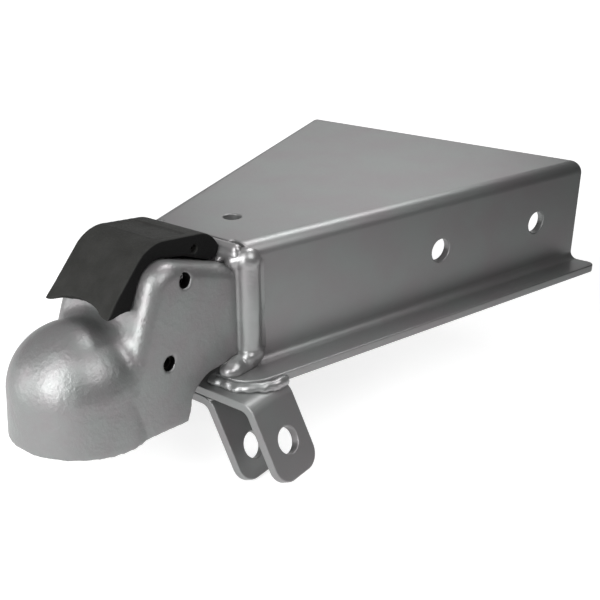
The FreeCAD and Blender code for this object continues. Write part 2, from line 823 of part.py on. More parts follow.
def make_torsion_spring():
    """Torsion spring beside the clamp: one arm under the clamp's cross bar, one up the front wall."""
    start_y = clamp_half_width + side_gap + coil_wire / 2
    end_y = neck_half_width - neck_wall - side_gap - coil_wire / 2
    steps = round(coil_turns * steps_per_turn)
    path = [side_point(spring_bar_x + spring_bar_radius, clamp_pin_z - coil_mean_radius, start_y)]
    for step in range(steps + 1):
        turn = 2 * math.pi * coil_turns * step / steps
        y = start_y + (end_y - start_y) * step / steps
        path.append(side_point(clamp_pin_x - coil_mean_radius * math.sin(turn),
                               clamp_pin_z - coil_mean_radius * math.cos(turn), y))
    path.append(side_point(clamp_pin_x - coil_mean_radius, coil_arm_top_z, end_y))
    return swept_wire(path, vec(0, 1, 0), coil_wire / 2)


def make_side_weld(head, channel):
    """Heavy bead where the channel's +Y wall meets the neck, a lump at each end, and a toe along the flange's top."""
    centre_y = wall_y(wall_front_x) - plate / 2
    shelf = web_z + plate
    low_z = shelf + side_bead_foot
    high_z = channel_top_z - side_bead_drop
    bead = Part.makeCylinder(side_bead_radius, high_z - low_z, vec(wall_front_x, centre_y, low_z))
    lumps = [Part.makeSphere(side_bead_end, vec(wall_front_x, centre_y, high_z)),
             Part.makeSphere(side_bead_end, vec(wall_front_x, centre_y, low_z))]
    toe_start = vec(flange_front_x + side_bead_toe, neck_half_width, shelf)
    toe_end = Part.makeSphere(side_bead_toe, toe_start)
    toe = Part.makeCylinder(side_bead_toe, wall_front_x - toe_start.x, toe_start, vec(1, 0, 0))
    bead = bead.fuse(lumps + [toe_end, toe])
    inside = box_between(vec(0, 0, -channel_height), vec(channel_rear_x, neck_half_width, channel_top_z))
    under = box_between(vec(0, 0, -channel_height), vec(wall_front_x, channel_rear_half, shelf))
    return largest(bead.cut([head, channel, inside, under]))


def make_roof_weld(head, channel):
    """Bead that closes the step from the neck's roof up to the channel's top plate."""
    half = wall_y(top_front_x) - side_bead_radius - plate
    under = channel_top_z - plate
    deep = roof_z(top_front_x)
    ramp = polygon([
        vec(top_front_x - 2 * roof_bead_radius, -half, roof_z(top_front_x - 2 * roof_bead_radius)),
        vec(top_front_x, -half, channel_top_z - plate / 4),
        vec(top_front_x, -half, under),
        vec(neck_length - 1, -half, under),
        vec(neck_length - 1, -half, deep - roof_bead_radius),
    ]).extrude(vec(0, 2 * half, 0))
    return largest(ramp.cut([head, channel]))


def make_flange_weld(channel, strap_shape):
    """Bead round the flange's front corner, on top of the outer strap."""
    centre = flange_corner_centre()
    centre.z = web_z
    ring = Part.makeTorus(flange_front_round, flange_bead_radius, centre, vec(0, 0, 1))
    sector = box_between(vec(flange_front_x - 2 * flange_bead_radius, centre.y, -channel_height),
                         vec(strap_front_x + strap_width, centre.y + 2 * flange_front_round, 0))
    start = wall_y(flange_front_x, plate)
    run = centre.y - start
    front = Part.makeCylinder(flange_bead_radius, run, vec(flange_front_x, start, centre.z), vec(0, 1, 0))
    bead = ring.common(sector).fuse(front)
    below_strap = box_between(vec(0, 0, -2 * channel_height),
                              vec(neck_length * 2, 2 * neck_half_width, channel_top_z - channel_height - strap / 2))
    return largest(bead.cut([channel, strap_shape]).cut(below_strap.cut(strap_shape)))


def make_strap_weld(outer_strap, inner_strap):
    """Fillet along the inner strap's bend, where it is welded under the outer strap."""
    inner_top_z = web_z - strap
    corner_y = (ear_offset - clevis_gap - strap - ear_normal().z * inner_top_z) / ear_normal().y
    tangent = (strap_bend + strap) * math.tan((math.pi / 2 - ear_tilt) / 2)
    start = vec(strap_front_x, corner_y - tangent / 3, inner_top_z)
    bead = Part.makeCylinder(strap_bead_radius, strap_width, start, vec(1, 0, 0))
    return largest(bead.cut([outer_strap, inner_strap]))


def largest(shape):
    return max(shape.Solids, key=lambda solid: solid.Volume)


head = make_head()
channel = make_channel()
outer_strap = make_strap(web_z, ear_offset, outer_ear_margin)
inner_strap = make_strap(web_z - strap, ear_offset - strap - clevis_gap, inner_ear_margin)

save("coupler_head", head)
save("channel_frame", channel)
save("chain_strap_outer", outer_strap)
save("chain_strap_inner", inner_strap)

side_weld = make_side_weld(head, channel)
flange_weld = make_flange_weld(channel, outer_strap)
strap_weld = make_strap_weld(outer_strap, inner_strap)
spacer = make_spacer()
torsion_spring = make_torsion_spring()
for side, place in (("right", Part.Shape.copy), ("left", mirrored)):
    save("side_weld_" + side, place(side_weld))
    save("flange_weld_" + side, place(flange_weld))
    save("strap_weld_" + side, place(strap_weld))
    save("clamp_spacer_" + side, place(spacer))
    save("clamp_spring_" + side, place(torsion_spring))

save("roof_weld", make_roof_weld(head, channel))
save("latch_lever", make_lever())
save("lever_pin", spring_pin(lever_pin_radius, lever_half_width - lever_pin_recess, lever_pin_x, lever_pin_z))
save("lock_slide", make_lock_slide())
save("lock_spring", make_lock_spring())
save("spring_washer", make_spring_washer())
save("ball_clamp", make_clamp())
save("clamp_pin", spring_pin(clamp_pin_radius, neck_half_width - pin_recess, clamp_pin_x, clamp_pin_z))
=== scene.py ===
"""Looks of a trailer coupling head: cast ball socket, lift-up lever, wedge-shaped channel and chain ears.

Everything is in metres in the part's own frame: the origin is the centre of the tow ball, +X points back
to the trailer and +Z up. Sizes written with mm() or spot() are real sizes of the object.
"""

import logging
import math
from dataclasses import dataclass
from enum import Enum
from functools import cache
from typing import Callable, Iterable, Sequence

import bmesh
import bpy
from mathutils import Matrix, Vector, noise


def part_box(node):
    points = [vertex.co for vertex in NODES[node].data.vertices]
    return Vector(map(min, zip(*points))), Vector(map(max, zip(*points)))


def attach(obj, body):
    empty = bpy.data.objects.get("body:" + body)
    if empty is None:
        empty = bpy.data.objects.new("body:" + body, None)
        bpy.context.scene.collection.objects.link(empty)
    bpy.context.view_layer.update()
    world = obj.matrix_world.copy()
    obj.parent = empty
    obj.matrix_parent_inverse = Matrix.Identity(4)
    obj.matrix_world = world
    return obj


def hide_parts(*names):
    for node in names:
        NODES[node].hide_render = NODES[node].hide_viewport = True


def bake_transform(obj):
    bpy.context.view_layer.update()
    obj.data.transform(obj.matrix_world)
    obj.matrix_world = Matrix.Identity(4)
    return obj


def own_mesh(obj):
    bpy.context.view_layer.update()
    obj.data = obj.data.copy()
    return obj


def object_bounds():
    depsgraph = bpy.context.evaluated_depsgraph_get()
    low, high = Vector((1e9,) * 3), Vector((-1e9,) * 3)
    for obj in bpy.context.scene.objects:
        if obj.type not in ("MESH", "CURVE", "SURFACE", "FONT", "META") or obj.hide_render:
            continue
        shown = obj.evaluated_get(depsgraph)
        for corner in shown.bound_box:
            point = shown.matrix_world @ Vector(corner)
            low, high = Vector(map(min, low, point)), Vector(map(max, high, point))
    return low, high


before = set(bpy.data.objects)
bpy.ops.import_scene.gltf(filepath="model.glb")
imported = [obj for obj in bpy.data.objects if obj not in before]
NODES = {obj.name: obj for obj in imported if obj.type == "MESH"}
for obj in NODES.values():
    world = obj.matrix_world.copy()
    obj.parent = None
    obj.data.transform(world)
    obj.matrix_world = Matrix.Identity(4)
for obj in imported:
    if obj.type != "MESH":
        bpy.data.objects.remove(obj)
CAD_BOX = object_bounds()
LOG = logging.getLogger("coupling_head")

Point = tuple[float, float, float]
Span = tuple[float, float]
Socket = bpy.types.NodeSocket
Item = bpy.types.Object


def mm(value: float) -> float:
    """Turn millimetres into metres."""
    return value / 1000.0


def spot(x: float, y: float, z: float) -> Point:
    """Turn a point or three sizes in millimetres into metres."""
    return (mm(x), mm(y), mm(z))


def limit(value: float) -> float:
    """Keep a value between 0 and 1."""
    return min(max(value, 0.0), 1.0)


def ease(value: float) -> float:
    """Step smoothly from 0 to 1 as a value does."""
    share = limit(value)
    return share * share * (3.0 - 2.0 * share)


def tinted(shade: float, tint: Sequence[float]) -> Point:
    """Linear RGB of a grey shade with a tint."""
    return (shade * tint[0], shade * tint[1], shade * tint[2])


class Body(Enum):
    """Rigid groups of the part that move together."""

    COUPLER = "coupler"
    LOCK = "lock"
    LEVER = "lever"
    CLAMP = "clamp"


class Slot(Enum):
    """Finish slots of the part's record."""

    HEAD = "head_paint"
    PLATE = "plate_paint"
    STRAP = "strap_paint"
    WELD = "weld_bead"
    LEVER = "lever_coat"
    PIN = "pin_steel"
    INNER = "inner_steel"
    SPRING = "spring_steel"
    SLIDE = "slide_steel"
    CLAMP = "clamp_iron"


@dataclass(frozen=True)
class Bore:
    """Round hole across the part.

    Attributes:
        x: Place of its axis along X.
        z: Place of its axis along Z.
        radius: Radius within which the hole is painted dark as shade.
    """

    x: float
    z: float
    radius: float


BEAD_GRID = mm(0.7)
SAFETY_BORE = Bore(mm(55.3), mm(55.4), mm(5.0))
CLAMP_BORE = Bore(mm(38.8), mm(8.7), mm(5.2))


class ShaderGraph:
    """Node tree of one material, with short ways to add the nodes that the finishes share."""

    def __init__(self, name: str) -> None:
        """Start a material.

        Args:
            name: Name of the new material.
        """
        self.material = bpy.data.materials.new(name)
        self.material.use_nodes = True
        self.tree = self.material.node_tree
        self.tree.nodes.clear()
        self.output = self.tree.nodes.new("ShaderNodeOutputMaterial")
        self.place = self.tree.nodes.new("ShaderNodeTexCoord").outputs["Object"]

    def add(self, kind: str, **settings: object) -> bpy.types.Node:
        """Add a node and set its properties.

        Args:
            kind: Blender's name of the node type.
            **settings: Properties of the node.

        Returns:
            The new node.
        """
        node = self.tree.nodes.new(kind)
        for key, value in settings.items():
            setattr(node, key, value)
        return node

    def join(self, source: Socket | Point | float, target: Socket) -> None:
        """Link an output to an input, or give the input a colour or a number.

        Args:
            source: The output, the linear RGB or the number.
            target: The input.
        """
        if isinstance(source, Socket):
            self.tree.links.new(source, target)
        elif isinstance(source, tuple):
            target.default_value = (*source, 1.0)
        else:
            target.default_value = source

    def feed(self, node: bpy.types.Node, **values: Socket | Point | float) -> None:
        """Join values to a node's inputs, with underscores for the spaces in the inputs' names."""
        for key, value in values.items():
            self.join(value, node.inputs[key.replace("_", " ")])

    def noise(self, grain: float, detail: float = 3.0, rough: float = 0.5) -> Socket:
        """Noise over the surface.

        Args:
            grain: Size of one grain.
            detail: Octaves of finer noise.
            rough: Share of the finer octaves.

        Returns:
            The noise value, about 0.5 on average.
        """
        node = self.add("ShaderNodeTexNoise")
        self.feed(node, Vector=self.place, Scale=1.0 / grain, Detail=detail, Roughness=rough)
        return node.outputs["Fac"]

    def remap(self, source: Socket, low: float, high: float, span: Span = (0.35, 0.65)) -> Socket:
        """Spread a value from one range to another, clamped at both ends.

        Args:
            source: The value.
            low: Result at the lower end of the span.
            high: Result at the upper end of the span.
            span: Range of the value that is used.

        Returns:
            The new value.
        """
        node = self.add("ShaderNodeMapRange")
        self.feed(node, Value=source, From_Min=span[0], From_Max=span[1], To_Min=low, To_Max=high)
        return node.outputs["Result"]

    def blend(self, share: Socket, first: Socket | Point, second: Socket | Point) -> Socket:
        """Mix two colours by a value.

        Args:
            share: 0 gives the first colour and 1 the second.
            first: The first colour, as a socket or linear RGB.
            second: The second colour.

        Returns:
            The mixed colour.
        """
        node = self.add("ShaderNodeMix", data_type="RGBA")
        ends = [socket for socket in node.inputs if socket.type == "RGBA"]
        for colour, end in zip((first, second), ends):
            self.join(colour, end)
        self.join(share, node.inputs["Factor"])
        return next(out for out in node.outputs if out.type == "RGBA")

    def bump(self, height: Socket, depth: float, under: Socket | None = None) -> Socket:
        """Bump from a height.

        Args:
            height: Value from 0 to 1.
            depth: Height that a value of 1 stands for.
            under: Normal that the bump adds to.

        Returns:
            The bumped normal.
        """
        node = self.add("ShaderNodeBump")
        self.feed(node, Height=height, Distance=depth, Strength=1.0)
        if under is not None:
            self.feed(node, Normal=under)
        return node.outputs["Normal"]

    def maths(self, operation: str, *values: Socket | float, clamp: bool = False) -> Socket:
        """Result of a maths node.

        Args:
            operation: Blender's name of the operation.
            *values: Sockets or numbers.
            clamp: Whether the result stays between 0 and 1.

        Returns:
            The result.
        """
        node = self.add("ShaderNodeMath", operation=operation, use_clamp=clamp)
        for value, target in zip(values, node.inputs):
            self.join(value, target)
        return node.outputs[0]

    def inside_bore(self, bore: Bore, depth: float) -> Socket:
        """Mask of a round bore along Y, where the paint is darkened as painted shade.

        Args:
            bore: The bore.
            depth: Distance from the mirror plane at which the mask ends.

        Returns:
            1 inside the bore and 0 elsewhere.
        """
        split = self.add("ShaderNodeSeparateXYZ")
        self.join(self.place, split.inputs[0])
        across = self.maths("SUBTRACT", split.outputs["X"], bore.x)
        rise = self.maths("SUBTRACT", split.outputs["Z"], bore.z)
        squares = [self.maths("MULTIPLY", side, side) for side in (across, rise)]
        away = self.maths("SQRT", self.maths("ADD", *squares))
        near = self.maths("LESS_THAN", away, bore.radius)
        deep = self.maths("LESS_THAN", self.maths("ABSOLUTE", split.outputs["Y"]), depth)
        return self.maths("MULTIPLY", near, deep)

    def surface(self, **values: Socket | Point | float) -> bpy.types.Material:
        """Principled surface joined to the output.

        Args:
            **values: What its inputs get, as in feed().

        Returns:
            The finished material.
        """
        node = self.add("ShaderNodeBsdfPrincipled")
        self.feed(node, **values)
        self.feed(self.output, Surface=node.outputs["BSDF"])
        return self.material


@dataclass(frozen=True)
class SilverPaint:
    """Satin silver paint over steel: metal flakes in a clear binder, with the skin of what lies under it.

    Attributes:
        name: Name of the material.
        shade: Linear grey of the paint.
        roughness: Mean roughness of the flakes.
        gloss_span: How far it varies below and above that.
        metal: Share of the flakes that reflect like metal.
        binder: Weight of the clear binder.
        binder_roughness: Roughness of the binder.
        flake_grain: Size of the flakes.
        skin: Height of the uneven skin.
        skin_grain: Size of the skin's unevenness.
        peel: Height of the fine orange peel.
        peel_grain: Size of the orange peel.
        tint_grain: Size of the faint tints.
        warm: The darker tint.
        cool: The paler tint.
        shaded_bores: Holes across the piece, inside which the paint is darkened to near black as painted
            shade.
        bore_painted_shade: Linear grey of that painted shade.
        bore_depth: Distance from the mirror plane at which that painted shade ends.
    """

    name: str
    shade: float = 0.24
    roughness: float = 0.44
    gloss_span: Span = (-0.05, 0.06)
    metal: float = 0.75
    binder: float = 0.1
    binder_roughness: float = 0.3
    flake_grain: float = mm(0.45)
    skin: float = mm(0.05)
    skin_grain: float = mm(9.0)
    peel: float = mm(0.02)
    peel_grain: float = mm(1.1)
    tint_grain: float = mm(38.0)
    warm: Point = (1.03, 0.985, 1.005)
    cool: Point = (1.0379, 1.0807, 1.06465)
    shaded_bores: tuple[Bore, ...] = ()
    bore_painted_shade: float = 0.006
    bore_depth: float = mm(36.9)

    def material(self) -> bpy.types.Material:
        """Build the node material.

        Returns:
            The material.
        """
        graph = ShaderGraph(self.name)
        cloud = graph.remap(graph.noise(self.tint_grain, detail=4.0, rough=0.55), 0.0, 1.0)
        colour = graph.blend(cloud, tinted(self.shade, self.warm), tinted(self.shade, self.cool))
        # Painted shade: inside the holes across the piece the colour turns near black, as the shade that
        # falls there.
        for bore in self.shaded_bores:
            colour = graph.blend(graph.inside_bore(bore, self.bore_depth), colour, (self.bore_painted_shade,) * 3)
        low, high = (self.roughness + change for change in self.gloss_span)
        gloss = graph.remap(graph.noise(self.flake_grain, detail=1.0), low, high)
        skin = graph.bump(graph.noise(self.skin_grain, detail=2.0), self.skin)
        peel = graph.bump(graph.noise(self.peel_grain, detail=2.0, rough=0.6), self.peel, skin)
        return graph.surface(
            Base_Color=colour, Roughness=gloss, Metallic=self.metal, Normal=peel, Coat_Normal=peel,
            Coat_Weight=self.binder, Coat_Roughness=self.binder_roughness)


@dataclass(frozen=True)
class BlackCoat:
    """Satin black coat of the lever, with a fine grain and clouds of dust, darker on its flanks as painted
    shade.

    Attributes:
        name: Name of the material.
        flank_shade: Linear grey of the faces turned along Y, darkened as painted shade.
        flank_span: Sideways share of the normal over which the coat turns to that painted shade.
        shade: Linear grey of the coat on the other faces, with its dust.
        tint: Tint of the darker dust.
        pale: Tint of the paler dust.
        dust_grain: Size of the dust's clouds.
        gloss: Least and greatest roughness.
        gloss_grain: Size of their spots.
        shine: Level of the coat's reflection.
        grain: Size of the coat's grain.
        depth: Height of the grain.
    """

    name: str
    flank_shade: float = 0.006
    flank_span: Span = (0.55, 0.95)
    shade: float = 0.02
    tint: Point = (1.0, 1.0, 0.94)
    pale: Point = (1.4, 1.4, 1.33)
    dust_grain: float = mm(14.0)
    gloss: Span = (0.56, 0.7)
    gloss_grain: float = mm(0.9)
    shine: float = 0.12
    grain: float = mm(0.8)
    depth: float = mm(0.08)

    def material(self) -> bpy.types.Material:
        """Build the node material.

        Returns:
            The material.
        """
        graph = ShaderGraph(self.name)
        cloud = graph.remap(graph.noise(self.dust_grain, detail=4.0, rough=0.6), 0.0, 1.0)
        dusty_lit_coat = graph.blend(cloud, tinted(self.shade, self.tint), tinted(self.shade, self.pale))
        # Painted shade: faces turned along Y are darkened, as the shade that falls on the lever's flanks.
        facing = graph.add("ShaderNodeSeparateXYZ")
        graph.join(graph.add("ShaderNodeTexCoord").outputs["Normal"], facing.inputs[0])
        shaded_flank = graph.remap(graph.maths("ABSOLUTE", facing.outputs["Y"]), 0.0, 1.0, self.flank_span)
        colour = graph.blend(shaded_flank, dusty_lit_coat, (self.flank_shade,) * 3)
        gloss = graph.remap(graph.noise(self.gloss_grain, detail=2.0), *self.gloss)
        grain = graph.bump(graph.noise(self.grain, rough=0.65), self.depth)
        return graph.surface(
            Base_Color=colour, Roughness=gloss, Metallic=0.0, Specular_IOR_Level=self.shine, Normal=grain)


@dataclass(frozen=True)
class BareSteel:
    """Plated or oiled steel of the inner pieces, with turning or drawing marks.

    Attributes:
        name: Name of the material.
        shade: Linear RGB of the metal.
        roughness: Mean roughness.
        marks: Height of the surface marks.
        grain: Size of the marks.
        gloss_span: How far it varies below and above that.
        metal: Share of the surface that reflects like metal.
        dull: Shade of the dull patches, as a share of the metal's.
        patch_grain: Size of the dull patches.
    """

    name: str
    shade: Point
    roughness: float
    marks: float = mm(0.012)
    grain: float = mm(0.5)
    gloss_span: Span = (-0.06, 0.08)
    metal: float = 0.95
    dull: float = 0.78
    patch_grain: float = mm(6.0)

    def material(self) -> bpy.types.Material:
        """Build the node material.

        Returns:
            The material.
        """
        graph = ShaderGraph(self.name)
        cloud = graph.noise(self.patch_grain, detail=4.0, rough=0.6)
        colour = graph.blend(graph.remap(cloud, 0.0, 1.0), self.shade, tinted(self.dull, self.shade))
        low, high = (self.roughness + change for change in self.gloss_span)
        gloss = graph.remap(cloud, low, high)
        marks = graph.bump(graph.noise(self.grain, rough=0.6), self.marks)
        return graph.surface(Base_Color=colour, Roughness=gloss, Metallic=self.metal, Normal=marks)


FINISHES: dict[Slot, SilverPaint | BlackCoat | BareSteel] = {
    Slot.HEAD: SilverPaint(
        "cast_silver", skin=mm(0.2), skin_grain=mm(7.0), peel=mm(0.27), peel_grain=mm(2.6),
        tint_grain=mm(15.0), shaded_bores=(SAFETY_BORE, CLAMP_BORE)),
    Slot.PLATE: SilverPaint("plate_silver", skin=mm(0.03), skin_grain=mm(22.0)),
    Slot.STRAP: SilverPaint("strap_silver", skin=mm(0.03), skin_grain=mm(14.0)),
    Slot.WELD: SilverPaint("weld_silver", shade=0.3, roughness=0.36, skin=mm(0.07), skin_grain=mm(4.0)),
    Slot.LEVER: BlackCoat("lever_black"),
    Slot.PIN: BareSteel("pin_steel", (0.035, 0.033, 0.03), 0.5),
    Slot.INNER: BareSteel("plated_steel", (0.46, 0.46, 0.44), 0.3),
    Slot.SPRING: BareSteel("spring_wire", (0.05, 0.05, 0.052), 0.45),
    Slot.SLIDE: BareSteel("slide_steel", (0.045, 0.045, 0.042), 0.55),
    Slot.CLAMP: BareSteel("clamp_iron", (0.16, 0.16, 0.155), 0.5, marks=mm(0.06), grain=mm(1.4)),
}


@cache
def finish(slot: Slot) -> bpy.types.Material:
    """Material of a slot, made on first use."""
    return FINISHES[slot].material()


def dress(piece: Item, slot: Slot) -> None:
    """Put a slot's finish on all of a piece."""
    piece.data.materials.clear()
    piece.data.materials.append(finish(slot))


def keep_node(node: str, slot: Slot) -> Item:
    """Give a CAD node that shows as it is its finish, and return its object."""
    dress(NODES[node], slot)
    return NODES[node]


def install(piece: Item, body: Body, slot: Slot, node: str) -> Item:
    """Finish a new piece and put it in its CAD node's place.

    Args:
        piece: The new piece, in its final shape.
        body: Body that it rides on.
        slot: Its finish.
        node: CAD node that it stands for.

    Returns:
        The piece.
    """
    dress(piece, slot)
    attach(piece, body.value)
    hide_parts(node)
    return piece


@dataclass(frozen=True)
class Skin:
    """Skin of a cast or welded piece.

    Attributes:
        grid: Size of its faces.
        passes: Passes of smoothing, which round the edges.
        swell: Height of its unevenness.
        grain: Size of the unevenness.
        lift: Distance that it stands out from the CAD piece.
    """

    grid: float
    passes: int
    swell: float
    grain: float
    lift: float = 0.0


@dataclass(frozen=True)
class Lump:
    """Lump of weld metal: a rounded shell between two ends.

    Attributes:
        start: Centre of one end, on the +Y side.
        end: Centre of the other end.
        radii: Half sizes of each end along X, Y and Z.
    """

    start: Point
    end: Point
    radii: Point

    def on_side(self, side: float) -> "Lump":
        """Put the lump on the +Y side (1) or on the -Y side (-1)."""
        start, end = ((place[0], side * place[1], place[2]) for place in (self.start, self.end))
        return Lump(start, end, self.radii)


class Piece:
    """Mesh of a new piece while it is being shaped.

    Attributes:
        SEAM: Distance within which points of a CAD mesh are one point.
        SMOOTHING: Strength of one pass of smoothing.
        FLAT_ANGLE: Angle below which two faces are one flat face.
        EDGE_STEPS: Faces across a rounded edge.
        FACE_WEIGHT: Weight of large faces in the shading.
        LUMP_DETAIL: Fineness of a lump's ends.
        item: The Blender object.
    """

    SEAM = mm(0.001)
    SMOOTHING = 0.5
    FLAT_ANGLE = math.radians(0.6)
    EDGE_STEPS = 3
    FACE_WEIGHT = 80
    LUMP_DETAIL = 3

    def __init__(self, name: str, points: Iterable[Sequence[float]], faces: Iterable[Sequence[int]]) -> None:
        """Make the object.

        Args:
            name: Name of the piece.
            points: Corners.
            faces: Corner numbers of each face.
        """
        mesh = bpy.data.meshes.new(name)
        mesh.from_pydata([tuple(point) for point in points], [], [tuple(face) for face in faces])
        self.item = bpy.data.objects.new(name, mesh)
        bpy.context.scene.collection.objects.link(self.item)

    @classmethod
    def of_node(cls, node: str, name: str) -> "Piece":
        """Start from a CAD node's faces, joined along their seams.

        Args:
            node: The CAD node.
            name: Name of the new piece.

        Returns:
            The new piece.
        """
        shape = bmesh.new()
        shape.from_mesh(NODES[node].data)
        bmesh.ops.remove_doubles(shape, verts=shape.verts, dist=cls.SEAM)
        shape.verts.ensure_lookup_table()
        points = [vertex.co.copy() for vertex in shape.verts]
        faces = [[vertex.index for vertex in face.verts] for face in shape.faces]
        shape.free()
        return cls(name, points, faces)

    def modify(self, kind: str, **settings: object) -> None:
        """Add a modifier.

        Args:
            kind: Blender's name of the modifier type.
            **settings: Properties of the modifier.
        """
        modifier = self.item.modifiers.new(kind.lower(), kind)
        for key, value in settings.items():
            setattr(modifier, key, value)

    def settle(self) -> "Piece":
        """Turn the modifiers' result into the piece's own mesh.

        Returns:
            This piece.
        """
        graph = bpy.context.evaluated_depsgraph_get()
        mesh = bpy.data.meshes.new_from_object(self.item.evaluated_get(graph))
        self.item.modifiers.clear()
        self.item.data = mesh
        mesh.name = self.item.name
        return self

    def smooth(self, passes: int, group: str = "") -> "Piece":
        """Smooth the mesh.

        Args:
            passes: Passes of smoothing.
            group: Vertex group with each point's share of it, or all points in full if empty.

        Returns:
            This piece.
        """
        self.modify("SMOOTH", factor=self.SMOOTHING, iterations=passes, vertex_group=group)
        return self.settle()

    def cast(self, skin: Skin) -> "Piece":
        """Give the piece the soft edges of a casting or a weld, which roughen() finishes."""
        self.modify("REMESH", mode="VOXEL", voxel_size=skin.grid, use_smooth_shade=True)
        return self.smooth(skin.passes)

    def break_edges(self, width: float, angle: float = 35.0) -> "Piece":
        """Round off the sharp edges of plate or bar.

        Args:
            width: Width of the rounded edge.
            angle: Smallest angle of an edge that is rounded, in degrees.

        Returns:
            This piece.
        """
        shape = bmesh.new()
        shape.from_mesh(self.item.data)
        bmesh.ops.dissolve_limit(shape, angle_limit=self.FLAT_ANGLE, verts=shape.verts, edges=shape.edges)
        shape.to_mesh(self.item.data)
        shape.free()
        self.item.data.shade_smooth()
        self.modify("BEVEL", width=width, segments=self.EDGE_STEPS, limit_method="ANGLE",
                    angle_limit=math.radians(angle), use_clamp_overlap=False)
        self.modify("WEIGHTED_NORMAL", keep_sharp=True, weight=self.FACE_WEIGHT)
        return self.settle()

    def move(self, shift: Callable[[Vector, Vector], Vector]) -> "Piece":
        """Move each point.

        Args:
            shift: Way to move, from the point's place and its normal.

        Returns:
            This piece.
        """
        mesh = self.item.data
        normals = [vertex.normal.copy() for vertex in mesh.vertices]
        places = [vertex.co + shift(vertex.co, normal) for vertex, normal in zip(mesh.vertices, normals)]
        mesh.vertices.foreach_set("co", [value for place in places for value in place])
        mesh.update()
        return self

    def press(self, height: Callable[[Vector, Vector], float]) -> "Piece":
        """Move each point along its normal.

        Args:
            height: Distance, from the point's place and its normal.

        Returns:
            This piece.
        """
        return self.move(lambda place, normal: normal * height(place, normal))

    def roughen(self, skin: Skin, seed: float = 0.0) -> "Piece":
        """Make the skin uneven by smooth noise.

        Args:
            skin: The skin.
            seed: Shifts the noise, so that twin pieces differ.

        Returns:
            This piece.
        """
        shift = Vector((seed, 2.0 * seed, 3.0 * seed))
        return self.press(
            lambda place, _normal: skin.lift + skin.swell * noise.noise(place / skin.grain + shift))

    def soften(self, weight: Callable[[Vector], float], passes: int) -> "Piece":
        """Smooth only a part of the piece.

        Args:
            weight: Share of the smoothing at a place, from 0 to 1.
            passes: Passes of smoothing.

        Returns:
            This piece.
        """
        group = self.item.vertex_groups.new(name="soft")
        for vertex in self.item.data.vertices:
            group.add([vertex.index], weight(vertex.co), "REPLACE")
        self.smooth(passes, group.name)
        self.item.vertex_groups.clear()
        return self

    def add_lump(self, lump: Lump) -> None:
        """Add a lump as a closed shell, which cast() then grows together with the rest.

        Args:
            lump: The lump.
        """
        shell = bmesh.new()
        for place in (lump.start, lump.end):
            end = Matrix.Translation(place) @ Matrix.Diagonal((*lump.radii, 1.0))
            bmesh.ops.create_icosphere(shell, subdivisions=self.LUMP_DETAIL, radius=1.0, matrix=end)
        bmesh.ops.delete(shell, geom=shell.edges[:], context="EDGES_FACES")
        bmesh.ops.convex_hull(shell, input=shell.verts[:])
        inner = [vertex for vertex in shell.verts if not vertex.link_faces]
        bmesh.ops.delete(shell, geom=inner, context="VERTS")
        bmesh.ops.recalc_face_normals(shell, faces=shell.faces[:])
        mesh = bpy.data.meshes.new("lump")
        shell.to_mesh(mesh)
        shell.free()
        shape = bmesh.new()
        shape.from_mesh(self.item.data)
        shape.from_mesh(mesh)
        shape.to_mesh(self.item.data)
        shape.free()
        bpy.data.meshes.remove(mesh)


@dataclass(frozen=True)
class SpringWire:
    """Round wire of a coiled spring.

    Attributes:
        radius: Radius of the wire.
        sides: Faces round the wire.
        turns: Turns of the coil.
        steps: Points on one turn.
    """

    radius: float
    sides: int
    turns: float
    steps: int

    def coil(self, start: Vector, end: Vector, arm: Vector, axis: str) -> list[Vector]:
        """Centre line of the coil.

        Args:
            start: Centre of the coil at its first point.
            end: Centre of the coil at its last point.
            arm: From the centre to the first point.
            axis: Direction of the coil's axis, X, Y or Z.

        Returns:
            Points along the coil.
        """
        count = round(self.turns * self.steps)
        path = []
        for step in range(count + 1):
            share = step / count
            turned = Matrix.Rotation(2.0 * math.pi * self.turns * share, 3, axis) @ arm
            path.append(start.lerp(end, share) + turned)
        return path

    def piece(self, name: str, path: Sequence[Vector]) -> Item:
        """Wire along a path, with flat ends.

        Args:
            name: Name of the piece.
            path: Points of the wire's centre line.

        Returns:
            The new piece's object.
        """
        points: list[Vector] = []
        faces: list[list[int]] = []
        side = (path[1] - path[0]).orthogonal().normalized()
        for index, place in enumerate(path):
            way = (path[min(index + 1, len(path) - 1)] - path[max(index - 1, 0)]).normalized()
            side = (side - way * side.dot(way)).normalized()
            rise = way.cross(side)
            for corner in range(self.sides):
                turn = 2.0 * math.pi * corner / self.sides
                points.append(place + (side * math.cos(turn) + rise * math.sin(turn)) * self.radius)
        for ring in range(len(path) - 1):
            for corner in range(self.sides):
                here, after = (ring * self.sides + step % self.sides for step in (corner, corner + 1))
                faces.append([here, after, after + self.sides, here + self.sides])
        faces.append(list(reversed(range(self.sides))))
        faces.append(list(range(len(points) - self.sides, len(points))))
        item = Piece(name, points, faces).item
        item.data.shade_smooth()
        return item


@dataclass
class CastHead:
    """The cast socket and neck, with the soft edges of a casting.

    Attributes:
        skin: Skin of the casting.
        rim_top: Height at which the socket's rounder rim begins.
        rim_fade: Height over which it grows to its full roundness.
        rim_passes: Further passes of smoothing at the rim.
    """

    skin: Skin = Skin(mm(1.05), 7, swell=mm(0.1), grain=mm(11.0))
    rim_top: float = mm(-30.0)
    rim_fade: float = mm(6.0)
    rim_passes: int = 36

    def build(self) -> list[Item]:
        """Build the casting.

        Returns:
            The finished piece.
        """
        piece = Piece.of_node("coupler_head", "cast_head").cast(self.skin)
        piece.soften(self.at_rim, self.rim_passes).roughen(self.skin)
        return [install(piece.item, Body.COUPLER, Slot.HEAD, "coupler_head")]

    def at_rim(self, place: Vector) -> float:
        """Share from 0 to 1 that a place belongs to the socket's lower rim."""
        return limit((self.rim_top - place.z) / self.rim_fade)


